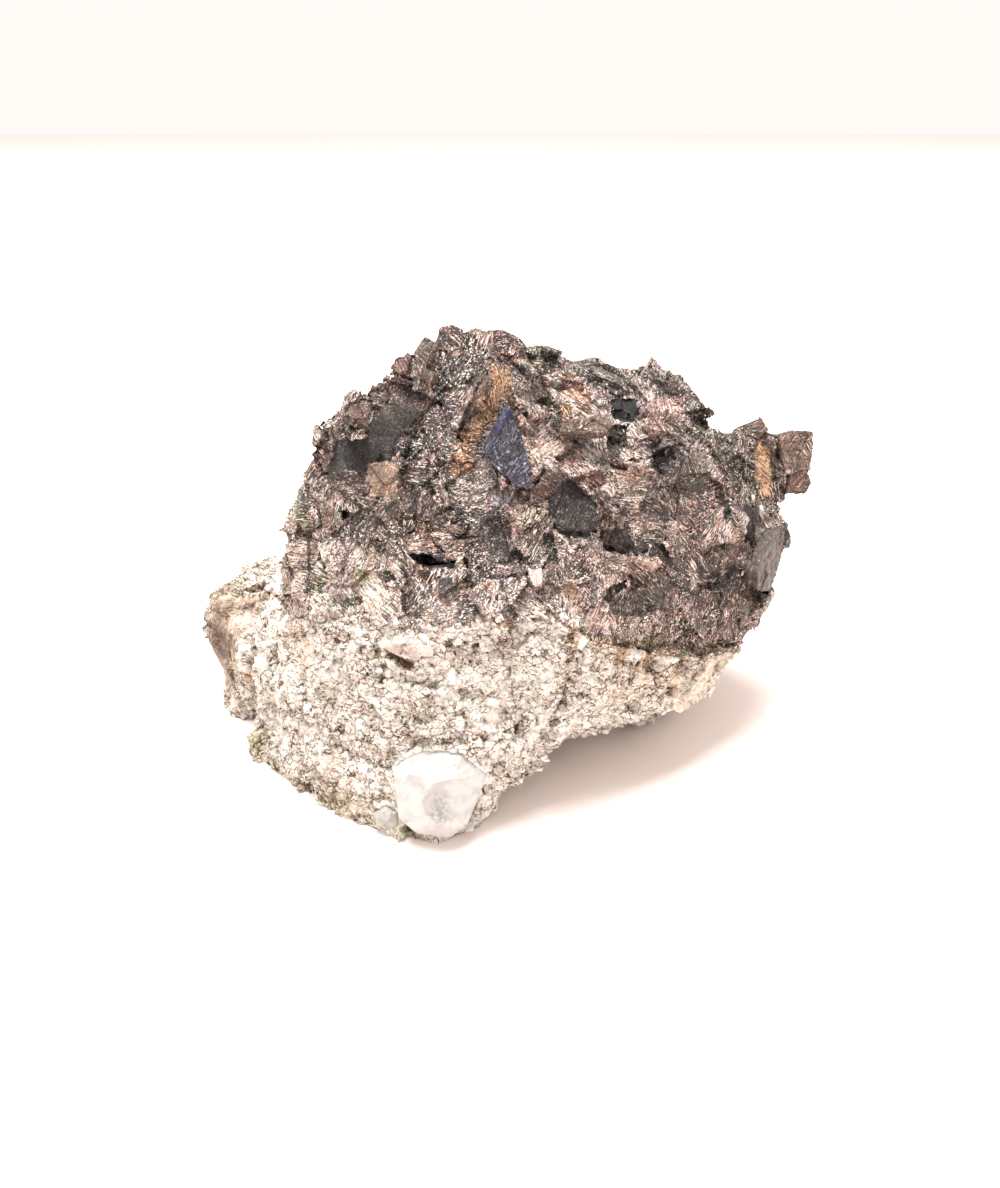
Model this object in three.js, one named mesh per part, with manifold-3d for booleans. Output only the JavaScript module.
// Axinite on matrix: a hand specimen of dark axinite crystals grown on a pale granular rock.
//
// Millimetres, +Z up. The specimen rests on Z = 0, its longest side runs along X and its front looks
// along -Y. It is blocked out from convex chunks, and a wavy contact parts them into the pale rock below
// and the axinite above. Cleavage blocks are then fused to the rock and crystals to the axinite, and the
// white crystal, the two small grains and the pink flake sit in sockets in the rock.

import * as THREE from "three";
import { ConvexGeometry } from "three/addons/geometries/ConvexGeometry.js";
import { TessellateModifier } from "three/addons/modifiers/TessellateModifier.js";
import { mergeVertices } from "three/addons/utils/BufferGeometryUtils.js";
import { ImprovedNoise } from "three/addons/math/ImprovedNoise.js";
import { MeshSurfaceSampler } from "three/addons/math/MeshSurfaceSampler.js";
import Module from "manifold-3d";

const wasm = await Module();
wasm.setup();

// ------------------------------------------------------------------------------------ driving dimensions

const SEAT_GAP = 0.3; // clearance between touching pieces
const SOLE = -2.5; // corners this low are trimmed off flat where the specimen rests
const WELD = 1e-4;
const REACH = 90; // half side of the blocks that trim the specimen
const BASE_CENTRE = { x: -1, y: 3.5 }; // middle of the base, in the frame that the corners below are given in

// How the rock is weathered: faces are split to maxEdge in so many passes, then pushed about by noise of
// each size and depth. The phases keep the pushes along X, Y and Z apart.
const WEATHERING = {
  maxEdge: 10,
  passes: 24,
  lumps: [
    { size: 13, depth: 2.2 },
    { size: 6, depth: 1.1 },
  ],
  phase: { x: 11.3, y: 27.1, z: 5.7 },
};

// Tablets strewn over a body and fused to it: slanted axe-shaped crystals on the axinite, cleavage blocks
// on the rock. Breadth and thickness are shares of the length, back is the inner face's size as a share
// of the outer one, proud is how far a tablet stands out of the body, and lean is the angle in degrees
// between its broad face and the body's surface.
const CORE_INSET = 1.2; // how far the axinite's body lies inside the chunks' corners
const ROCK_INSET = 1; // the same for the rock
const CRYSTALS = {
  outline: [[-0.5, -0.32], [0.12, -0.5], [0.5, 0.22], [-0.16, 0.5]],
  back: 0.55,
  count: 152,
  seed: 11,
  length: [7.5, 15],
  breadth: 0.68,
  thickness: 0.5,
  proud: [0.5, 3],
  lean: [6, 42],
};
const BLOCKS = {
  outline: [[-0.5, -0.42], [0.38, -0.5], [0.5, 0.4], [-0.4, 0.5]],
  back: 0.9,
  count: 46,
  seed: 5,
  length: [4, 9],
  breadth: 0.75,
  thickness: 0.6,
  proud: [0.3, 1.1],
  lean: [0, 30],
};

// Where tablets may stand: of this many tries for each, the one with most room is kept. Faces that look
// further down than lowestOut, or lie this close to the contact, carry none.
const STREWING = { tries: 14, lowestOut: -0.35, contactMargin: 1 };

// Height of the contact between rock and axinite: a column for each x, a row for each y.
const CONTACT = {
  x: [-70, -44, -38, -30, -20, -9, 5, 13, 22, 32, 42, 70],
  y: [-60, -18, -4, 12, 26, 60],
  height: [
    [22, 24, 26, 31, 33, 32, 35, 31, 27, 22, 18.5, 17],
    [22, 24, 26, 31, 33, 32, 35, 31, 27, 22, 18.5, 17],
    [24, 24, 25, 29, 29, 27, 28, 26, 24, 21, 18.5, 17],
    [32, 28, 22, 22, 21, 20, 20, 20, 20, 19, 18, 17],
    [32, 30, 26, 23, 24, 23, 22, 22, 23, 23, 20, 18],
    [32, 30, 28, 26, 29, 27, 25, 27, 29, 27, 23, 19],
  ],
  wave: { size: 8, depth: 1.8 },
  cell: 7,
};

// Broad crystals that stand out singly, each a slab with a flat outer face. slab() says what the fields
// mean.
const BLADES = [
  // the broad dark face high on the left, in two facets
  {
    at: [-23.5, -3, 54.5], turn: -25, tip: 24, depth: 5,
    outline: [[-3, 3.5], [2, 4.5], [6, 1], [2, -3], [-4, -4]],
  },
  {
    at: [-16.5, -1, 58], turn: -4, tip: 36, depth: 5,
    outline: [[-2, 4], [3, 5], [4.5, 1.5], [1.5, -2], [-4, -5.5], [-4.5, 1]],
  },
  // smooth plates on the left edge of the peak, and the two blocks below them
  {
    at: [-11.5, 4, 67.5], turn: -45, tip: 25, depth: 4,
    outline: [[-4, 0.5], [-2, 3.5], [0, 3], [2.5, -1.5], [2, -4], [0, -3]],
  },
  {
    at: [-14.5, 4, 66], turn: -30, tip: 35, depth: 4,
    outline: [[-2.5, 2], [0, 2.5], [3, 0], [3, -2.5], [-3, -1]],
  },
  {
    at: [-23, 1.5, 60.2], turn: -20, tip: 20, depth: 5,
    outline: [[-1.8, 2], [2, 2.8], [3, -2.5], [-2, -2.5]],
  },
  { at: [-26, 0.6, 56.6], turn: -35, tip: 20, depth: 5, outline: [[-2, 2], [1, 2], [2, -2], [-2.2, -2.5]] },
  // the sparkling slope below the summit, and the plate on edge along its right side
  {
    at: [-5.5, 2, 65.5], turn: -12, tip: 38, depth: 4,
    outline: [[-4.5, 6], [0.5, 8.5], [3.5, 7.5], [4, 1.5], [1, -9], [-1, -9], [-4, -3.5]],
  },
  {
    at: [-2.5, -0.5, 62.5], turn: -38, tip: 18, depth: 3,
    outline: [[0.2, 5], [1.8, 6], [0.6, -6], [-1.4, -6]],
  },
  // the steel-blue blade
  {
    at: [2, -7, 56], turn: -14, tip: 34, depth: 4, back: 0.6,
    outline: [[-2, 7.5], [-4.5, 2], [-4.5, 0], [-2, -4.5], [3, -5], [5.5, -2], [4, 2.5], [0.5, 6]],
  },
  // the lath that lies above a shadow
  {
    at: [13.5, -1, 58.5], turn: -6, tip: 40, depth: 2.4, back: 0.8,
    outline: [[-4.8, -1], [-3, 0.9], [3.2, 1.9], [4, 0], [3.4, -1.1]],
  },
  // dark blades below the blue one
  {
    at: [-0.2, -9.5, 50.5], turn: -8, tip: 28, depth: 3,
    outline: [[-1.8, 1], [0, 2], [2, 1.5], [1.5, -2], [-2, -2]],
  },
  {
    at: [-0.5, -13, 45], turn: -8, tip: 20, depth: 4,
    outline: [[-1.8, 3], [1.6, 3.5], [2.8, 1.5], [2, -3], [0.8, -4.4], [-3, -1.5]],
  },
  {
    at: [4.5, -11.5, 47.5], turn: 6, tip: 22, depth: 3,
    outline: [[-1.8, 2], [0.5, 2.5], [2.8, 1.5], [2, -3], [-1.6, -3.5]],
  },
  // dark lens low on the right, bluish patch above it, and a stub with a rounded end at the right edge
  {
    at: [24, -10, 41], turn: 22, tip: 30, depth: 3,
    outline: [[-4, 0], [-1, 1.5], [3, 0.8], [3.5, -1], [-0.5, -1.6]],
  },
  {
    at: [26.5, -1, 53.5], turn: 15, tip: 36, depth: 3,
    outline: [[-1.8, 1.5], [2, 2.2], [2.4, -0.5], [0, -2.2], [-2, -1.5]],
  },
  {
    at: [43, 7, 38.5], turn: 28, tip: 25, depth: 3,
    outline: [[-0.9, 2.6], [0.9, 2.8], [1.2, -2.6], [-0.8, -2.8]],
  },
  // the smooth grey face on the right flank
  {
    at: [48.5, 7.5, 31.5], turn: 55, tip: 10, depth: 5,
    outline: [[6.5, 5], [7.5, 2.5], [-1, -5], [-4.5, -7], [-8, -2], [-3.5, 2.5], [2, 4.5]],
  },
  // the knob: its roof, end block and reddish lower block
  {
    at: [44.5, 18.5, 51], turn: 5, tip: 22, depth: 6, clear: 1.5,
    outline: [[-3.5, 1], [2, 3], [3.2, 0.5], [2, -2.5], [-3, -2.5]],
  },
  {
    at: [52, 16, 48], turn: 22, tip: 10, depth: 7, clear: 2.2,
    outline: [[-4, 3.2], [0, 3.6], [3.4, 3.2], [3.2, -3], [2, -3.6], [-3, -4]],
  },
  {
    at: [53, 15.5, 42.8], turn: 20, tip: 12, depth: 6,
    outline: [[-2.5, 2], [1.6, 2], [2.6, -0.5], [1.6, -2.2], [-3, -1.8]],
  },
];

// Hollows between the crystals: what a slab that reaches depth under the surface takes away.
const HOLLOW_HEADROOM = 4; // how far such a slab stands out of the surface
const HOLLOWS = [
  // the broad recess right of the blades, and its shallower end
  {
    at: [10.9, -8.6, 48.6], turn: 12, tip: 24, depth: 2.8, back: 0.9,
    outline: [[-3.5, 0.5], [-0.5, 3.5], [0, 5], [1.5, 3.5], [4.5, 0.5], [4.5, -3.5], [1.5, -5], [-3.5, -4]],
  },
  {
    at: [17.7, -8.4, 42.1], turn: 15, tip: 22, depth: 2.2, back: 0.9,
    outline: [[-2.5, 2], [3, 2], [3, -1], [-0.5, -2.2], [-2.5, -1]],
  },
  // pits right of the lath, and the cavity under the blue blade
  {
    at: [20.3, 7, 59], turn: 10, tip: 40, depth: 3.6, back: 0.7,
    outline: [[-2.2, 1.5], [2.2, 1.5], [2.2, -0.5], [0, -1.8], [-2.2, -1]],
  },
  {
    at: [18.7, 1.5, 56], turn: 10, tip: 40, depth: 3.2, back: 0.6,
    outline: [[-1.2, 2], [2, 2], [1.8, -1], [0, -2.6], [-2, 0]],
  },
  {
    at: [3.7, -9, 50], turn: 0, tip: 27, depth: 3, back: 0.7,
    outline: [[-1.4, 1.5], [1.4, 1.5], [1.2, -1], [-1, -1]],
  },
  // the slit across the lower left, and small pits left of it and above it
  {
    at: [-9.8, -12.5, 41], turn: 0, tip: 27, depth: 3.2, back: 0.7,
    outline: [[-4.6, 1], [-1, 0.8], [3.8, 0.2], [3.4, -0.7], [-1.5, -1.3]],
  },
  {
    at: [-24.3, -4.7, 45.2], turn: -15, tip: 27, depth: 2.4, back: 0.5,
    outline: [[-1.4, 0.9], [1.4, 1], [1.2, -0.8], [-1, -0.9]],
  },
  {
    at: [-6.3, -2.6, 57], turn: 0, tip: 27, depth: 2.4, back: 0.5,
    outline: [[-1.2, 0.8], [1, 1.2], [1.2, -1.2], [-0.6, -1]],
  },
];

// Small holes in the rock under its right side.
const ROCK_HOLES = [
  {
    at: [27.9, -14.3, 18], turn: 33, tip: 5, depth: 2.4, back: 0.5,
    outline: [[-1, 1.1], [1, 0.9], [1.1, -1], [-0.7, -0.8]],
  },
  {
    at: [24.8, -14.7, 22], turn: 33, tip: 5, depth: 1.6, back: 0.5,
    outline: [[-0.7, 0.7], [0.7, 0.6], [0.6, -0.6], [-0.6, -0.7]],
  },
];

// Crystals and grains that sit in sockets in the rock. Each is convex: an outline in the plane of its
// rim, corners [right, up, out] that stand proud of the rim, and a root that is a share of the outline at
// a depth behind it.
const SEATED = {
  white_crystal: {
    at: [-9.6, -27.5, 9.5],
    turn: 0,
    tip: 20,
    outline: [
      [-6.8, 2.6], [-5.1, 4.2], [-1.6, 5.3], [0.1, 6.5], [3.6, 6.5], [5.3, 4.9], [7.5, 1.6], [7, -0.1],
      [5.1, -4.6], [4.5, -6.2], [2, -8.2], [-3.2, -7.6], [-4.9, -6.2], [-6.1, -4.9], [-6.4, -0.3],
    ],
    proud: [
      [0.2, 1.8, 3.6], [2.9, 2.4, 3.4], [-3.6, 2.6, 2.4], [-3.8, -1.4, 3], [0, -4.6, 2.8], [2.8, -4.2, 2.6],
    ],
    root: { share: 0.7, depth: 5.5 },
  },
  grey_grain: {
    at: [-18.1, -26.9, 2.7],
    turn: -15,
    tip: 15,
    outline: [[-2.2, 0.7], [-0.1, 2.1], [1.9, 1.4], [2.2, -0.6], [0.1, -1.8], [-1.8, -1.6]],
    proud: [[-0.8, 0.5, 1.2], [0.9, 0.4, 1.3], [0.1, -0.8, 1]],
    root: { share: 0.7, depth: 2.6 },
  },
  clear_grain: {
    at: [-4.9, -28, 1.9],
    turn: 10,
    tip: 10,
    outline: [[-0.9, 0.5], [0.2, 1], [0.9, 0.3], [0.8, -0.8], [-0.5, -1]],
    proud: [[0, 0, 0.8]],
    root: { share: 0.7, depth: 1.8 },
  },
  pink_flake: {
    at: [-13.2, -20.9, 30.2],
    turn: -10,
    tip: 38,
    outline: [[-4.4, -0.4], [-3, 1.5], [1.6, 2.1], [3.9, 1], [3.4, -0.9], [-0.1, -1.6], [-1.5, -1.4]],
    proud: [[-2.2, 0.4, 0.4], [1.8, 0.6, 0.5]],
    root: { share: 0.8, depth: 1.4 },
  },
};

// The hollow that undercuts the pink flake along its lower left edge.
const FLAKE_UNDERCUT = {
  at: [-16, -21.6, 28.2], turn: -20, tip: 30, depth: 2.2, back: 0.6,
  outline: [[-2, 1.2], [2.6, -0.2], [2.4, -1.2], [-1.4, 0]],
};

// The convex chunks that the specimen is blocked out from, as corners [x, y, z].
const CHUNKS = {
  peak: [
    [-35.7, 6, 44], [-32.5, 4, 49], [-31, 3, 53], [-26, 3, 57], [-19, 5, 64], [-12.5, 7, 69.5],
    [-7.5, 8, 71.5], [0, 12, 70], [8.6, 14, 66], [-36, -5, 29], [-28, -11, 30], [-17, -18, 32],
    [-3, -21, 34], [6, -20, 34], [10, -14, 42], [13, 2, 57], [-36, 16, 26], [-30, 24, 34],
    [-16, 27, 52], [0, 29, 60], [10, 30, 40], [-24, 26, 16], [-36, 8, 20], [0, -12, 18],
  ],
  shoulder: [
    [2, -20, 33], [12, -20, 30], [21, -17, 26], [32, -10, 21], [42, -2, 17], [45, 3, 22],
    [47.7, 6, 25.5], [50, 10, 29.5], [51, 14, 36], [12, -10, 49], [24, 0, 53], [31, 6, 52],
    [38, 8, 47], [44, 8, 40], [0, 12, 67], [12.5, 15, 64.5], [16.4, 30, 60], [22.8, 31, 60.5],
    [28.1, 30, 59], [32.4, 28, 57], [38.4, 24, 51.5], [10, 36, 50], [30, 36, 46], [44, 30, 36],
    [46, 24, 20], [36, 34, 18], [5, 34, 20],
  ],
  knob: [
    [36, 14, 46], [42.6, 24, 50], [46.4, 22, 52], [48.5, 21, 50], [52.4, 20, 50.5], [55, 20, 50],
    [55, 18, 44], [54.5, 17, 41.5], [52, 16, 40], [46, 12, 36], [42, 30, 44], [50, 30, 42], [40, 24, 32],
  ],
  front: [
    [-10.9, -31, SOLE], [-16, -29.6, SOLE], [-24, -24.4, SOLE], [-34, -17, SOLE], [-42, -9, SOLE],
    [-46.7, -3, SOLE], [-5, -27.5, SOLE], [-1.9, -25, 1.9], [0.8, -22, 4.5], [4.8, -20, 7.4],
    [9.7, -18, 10.4], [13.6, -18, 14.3], [-14, -28.4, 10], [-30, -18, 14], [-3, -25.5, 12],
    [-41, 2, 25], [-35, -4, 31], [-28, -11, 32], [-20, -15, 35], [-9, -19, 34], [5, -20, 34],
    [12, -20, 31], [-47, 6, 4], [-42, 18, 24], [-34, 28, SOLE], [-8, 30, SOLE], [0, 8, SOLE], [0, 28, 26],
  ],
  lobe: [
    [-49, 4, SOLE], [-53, 8, SOLE], [-54.5, 12, 4.2], [-54, 14, 8.6], [-57, 20, 14.7], [-56.5, 22, 18.5],
    [-52, 26, 19.8], [-49.9, 30, 22], [-46, 32, 22], [-44.7, 30, 20.8], [-44, 0, 18], [-52, 34, 4],
    [-38, 38, SOLE], [-26, 36, 16], [-26, 20, 24], [-30, 10, 2],
  ],
  overhang: [
    [8, -18, 12], [16, -18, 13.8], [22.6, -17, 13.3], [26, -15, 13.3], [34, -8, 12.6], [38.8, -4, 14.5],
    [42, -2, 17], [2, -19, 34], [12, -20, 31], [21, -17, 28], [32, -10, 23], [42, -2, 19],
    [12, 6, SOLE], [30, 8, SOLE], [36, 28, SOLE], [10, 34, SOLE], [44, 14, 18], [44, 28, 20], [20, 39, 22],
    [-10, 38, 20], [-14, 34, SOLE],
  ],
};

// ------------------------------------------------------------------------------------ small helpers

// A repeatable random number between low and high.
function randomFrom(seed) {
  let state = seed >>> 0;
  const next = () => {
    state = (state + 0x6d2b79f5) >>> 0;
    let t = Math.imul(state ^ (state >>> 15), 1 | state);
    t = (t + Math.imul(t ^ (t >>> 7), 61 | t)) ^ t;
    return ((t ^ (t >>> 14)) >>> 0) / 2 ** 32;
  };
  return (low = 0, high = 1) => low + (high - low) * next();
}

// A three.js geometry as a closed solid, with corners closer than WELD made one.
function toSolid(geometry) {
  const bare = geometry.clone();
  bare.deleteAttribute("normal");
  bare.deleteAttribute("uv");
  const merged = mergeVertices(bare, WELD);
  return new wasm.Manifold(
    new wasm.Mesh({
      numProp: 3,
      vertProperties: new Float32Array(merged.attributes.position.array),
      triVerts: new Uint32Array(merged.index.array),
    }),
  );
}

// A solid as a flat-shaded three.js geometry.
function toGeometry(solid) {
  const mesh = solid.getMesh();
  const indexed = new THREE.BufferGeometry();
  indexed.setAttribute("position", new THREE.BufferAttribute(mesh.vertProperties, 3));
  indexed.setIndex(new THREE.BufferAttribute(mesh.triVerts, 1));
  const flat = indexed.toNonIndexed();
  flat.computeVertexNormals();
  return flat;
}

function join(solids) {
  return solids.reduce((whole, solid) => whole.add(solid));
}

// The convex solid around a list of corners.
function hull(corners) {
  return toSolid(new ConvexGeometry(corners));
}

const noise = new ImprovedNoise();

// Splits the faces of a solid to maxEdge, then pushes each corner about by smooth noise.
function weather(solid, { maxEdge, passes, lumps, phase }) {
  const split = new TessellateModifier(maxEdge, passes).modify(toGeometry(solid));
  const corners = split.attributes.position;
  const corner = new THREE.Vector3();
  for (let i = 0; i < corners.count; i++) {
    corner.fromBufferAttribute(corners, i);
    const { x, y, z } = corner;
    for (const { size, depth } of lumps) {
      corner.x += depth * noise.noise(x / size + phase.x, y / size, z / size);
      corner.y += depth * noise.noise(x / size, y / size + phase.y, z / size);
      corner.z += depth * noise.noise(x / size, y / size, z / size + phase.z);
    }
    corners.setXYZ(i, corner.x, corner.y, corner.z);
  }
  return toSolid(split);
}

// ------------------------------------------------------------------------------------ rock and axinite

// Where a value falls between the entries of a rising list: the entry below it, and the way to the next.
function place(list, value) {
  const i = list.findIndex((entry, k) => value <= list[k + 1] || k === list.length - 2);
  return { i, t: THREE.MathUtils.clamp((value - list[i]) / (list[i + 1] - list[i]), 0, 1) };
}

function contactHeight(x, y) {
  const { height, wave } = CONTACT;
  const col = place(CONTACT.x, x);
  const row = place(CONTACT.y, y);
  const along = (k) => THREE.MathUtils.lerp(height[k][col.i], height[k][col.i + 1], col.t);
  const ripple = wave.depth * noise.noise(x / wave.size, y / wave.size, 0);
  return THREE.MathUtils.lerp(along(row.i), along(row.i + 1), row.t) + ripple;
}

// All that lies under the contact, raised by lift.
function underContact(lift) {
  const cells = Math.round((2 * REACH) / CONTACT.cell);
  const slab = new THREE.BoxGeometry(2 * REACH, 2 * REACH, REACH, cells, cells, 1);
  const corners = slab.attributes.position;
  for (let i = 0; i < corners.count; i++) {
    const top = corners.getZ(i) > 0;
    corners.setZ(i, top ? contactHeight(corners.getX(i), corners.getY(i)) + lift : -REACH);
  }
  return toSolid(slab);
}

// All that lies under the level that the specimen rests on.
function underFloor() {
  return toSolid(new THREE.BoxGeometry(2 * REACH, 2 * REACH, REACH).translate(0, 0, -REACH / 2));
}

// Points spread evenly over the open sides and top of a solid, each with the way out of the surface
// there. Of several tries the one furthest from the points so far, and outside the places to keep clear,
// is kept.
function strewn(solid, count, random, keepClear = []) {
  const { tries, lowestOut, contactMargin } = STREWING;
  const sampler = new MeshSurfaceSampler(new THREE.Mesh(toGeometry(solid)));
  sampler.setRandomGenerator(() => random());
  sampler.build();
  const points = [];
  const room = (at) =>
    Math.min(
      ...points.map((p) => p.at.distanceTo(at)),
      ...keepClear.map(({ centre, radius }) => (centre.distanceTo(at) < radius ? -1 : Infinity)),
    );
  while (points.length < count) {
    let best = { space: -1 };
    for (let i = 0; i < tries; i++) {
      const at = new THREE.Vector3();
      const out = new THREE.Vector3();
      sampler.sample(at, out);
      const nearContact = Math.abs(at.z - contactHeight(at.x, at.y)) < contactMargin;
      const space = nearContact || out.z < lowestOut ? -1 : room(at);
      if (space > best.space) best = { space, at, out };
    }
    if (best.at) points.push(best);
  }
  return points;
}

// The corners of a tablet in its own frame: the outline as a broad face along +Z, and a smaller copy
// behind it.
function tabletCorners(outline, back, length, breadth, thickness) {
  return outline.flatMap(([u, v]) => [
    new THREE.Vector3(u * length, v * breadth, thickness / 2),
    new THREE.Vector3(u * back * length, v * back * breadth, -thickness / 2),
  ]);
}

// Tablets leaning out of a body's surface at all angles.
function strewnTablets(body, tablets, keepClear) {
  const { outline, back, count, seed, length, breadth, thickness, proud, lean } = tablets;
  const random = randomFrom(seed);
  const axis = new THREE.Vector3(0, 0, 1);
  return strewn(body, count, random, keepClear).map(({ at, out }) => {
    const long = THREE.MathUtils.lerp(length[0], length[1], random() ** 2);
    const side = new THREE.Vector3(random(-1), random(-1), random(-1)).cross(out).normalize();
    const angle = THREE.MathUtils.degToRad(random(lean[0], lean[1]));
    const reach = (long * (1 + breadth) * Math.sin(angle)) / 4 + (long * thickness * Math.cos(angle)) / 2;
    const turn = new THREE.Quaternion().setFromUnitVectors(axis, out.clone().applyAxisAngle(side, angle));
    const spin = new THREE.Quaternion().setFromAxisAngle(axis, random(0, 2 * Math.PI));
    const centre = at.clone().addScaledVector(out, random(proud[0], proud[1]) - reach);
    const corners = tabletCorners(outline, back, long, long * breadth, long * thickness);
    return hull(corners.map((c) => c.applyQuaternion(spin).applyQuaternion(turn).add(centre)));
  });
}

// The convex chunks of the given names, each with its corners drawn in towards its middle by inset.
function chunks(names, inset) {
  return names.map((name) => {
    const corners = CHUNKS[name].map((c) => new THREE.Vector3(...c));
    const middle = corners.reduce((sum, c) => sum.add(c), new THREE.Vector3()).divideScalar(corners.length);
    return hull(corners.map((c) => c.addScaledVector(middle.clone().sub(c).normalize(), inset)));
  });
}

// Where a plane lies whose outer side looks turn degrees to the right of the front and tip degrees upwards.
function planeFrame({ at, turn, tip }) {
  const a = THREE.MathUtils.degToRad(turn);
  const e = THREE.MathUtils.degToRad(tip);
  const out = new THREE.Vector3(Math.cos(e) * Math.sin(a), -Math.cos(e) * Math.cos(a), Math.sin(e));
  const right = new THREE.Vector3(Math.cos(a), Math.sin(a), 0);
  return new THREE.Matrix4().makeBasis(right, out.clone().cross(right), out).setPosition(...at);
}

// A slab with its outline in that plane. It narrows towards a back that lies depth behind its outer face.
function slab({ outline, depth, back = 0.75, ...plane }, lift = 0) {
  const frame = planeFrame(plane);
  const corners = outline.flatMap(([u, v]) => [
    new THREE.Vector3(u, v, lift),
    new THREE.Vector3(u * back, v * back, -depth),
  ]);
  return hull(corners.map((c) => c.applyMatrix4(frame)));
}

function hollow(spec) {
  return slab(spec, HOLLOW_HEADROOM);
}

// A seated crystal or grain, or with grow its socket: the same shape made larger by grow on every side.
function seated({ outline, proud, root, ...plane }, grow = 0) {
  const corners = [
    ...outline.flatMap(([u, v]) => [
      new THREE.Vector3(u, v, 0),
      new THREE.Vector3(u * root.share, v * root.share, -root.depth),
    ]),
    ...proud.map((corner) => new THREE.Vector3(...corner)),
  ];
  const box = new THREE.Box3().setFromPoints(corners);
  const middle = box.getCenter(new THREE.Vector3());
  const half = box.getSize(new THREE.Vector3()).divideScalar(2);
  const scale = half.clone().addScalar(grow).divide(half);
  return hull(corners.map((c) => c.sub(middle).multiply(scale).add(middle).applyMatrix4(planeFrame(plane))));
}

// The room that a slab takes up on the surface, which strewn tablets keep clear of: clear times its reach.
function roomOf({ at, outline, clear = 0.9 }) {
  const reach = Math.max(...outline.map(([u, v]) => Math.hypot(u, v)));
  return { centre: new THREE.Vector3(...at), radius: clear * reach };
}

const axiniteCore = join(chunks(["peak", "shoulder", "knob"], CORE_INSET)).subtract(underContact(SEAT_GAP));
const rockBody = join(chunks(Object.keys(CHUNKS), ROCK_INSET).map((chunk) => weather(chunk, WEATHERING)))
  .intersect(underContact(0));

const keepClear = [...BLADES, ...HOLLOWS].map(roomOf);
const axinite = join([axiniteCore, ...strewnTablets(axiniteCore, CRYSTALS, keepClear)])
  .subtract(join(HOLLOWS.map(hollow)))
  .add(join(BLADES.map((blade) => slab(blade))))
  .subtract(underContact(SEAT_GAP));
const rock = join([rockBody, ...strewnTablets(rockBody, BLOCKS, Object.values(SEATED).map(roomOf))])
  .subtract(join([...ROCK_HOLES, FLAKE_UNDERCUT].map(hollow)))
  .subtract(join(Object.values(SEATED).map((spec) => seated(spec, SEAT_GAP))))
  .intersect(underContact(0))
  .subtract(underFloor());

// ------------------------------------------------------------------------------------ the specimen

const FINISHES = {
  axinite_mass: { color: 0x4b3a3c, roughness: 0.45 },
  matrix_rock: { color: 0xd8cbbd, roughness: 0.9 },
  white_crystal: { color: 0xf4efe8, roughness: 0.15 },
  grey_grain: { color: 0xb9b2a6, roughness: 0.3 },
  clear_grain: { color: 0xe8e2da, roughness: 0.2 },
  pink_flake: { color: 0xd3b6a6, roughness: 0.6 },
};

function piece(name, solid) {
  const finish = new THREE.MeshStandardMaterial({ ...FINISHES[name], metalness: 0 });
  const mesh = new THREE.Mesh(toGeometry(solid), finish);
  mesh.name = name;
  mesh.position.set(-BASE_CENTRE.x, -BASE_CENTRE.y, 0);
  return mesh;
}

const specimen = new THREE.Group();
specimen.name = "axinite_on_matrix";
specimen.add(piece("axinite_mass", axinite));
specimen.add(piece("matrix_rock", rock));
for (const [name, spec] of Object.entries(SEATED)) {
  specimen.add(piece(name, seated(spec)));
}

export default specimen;
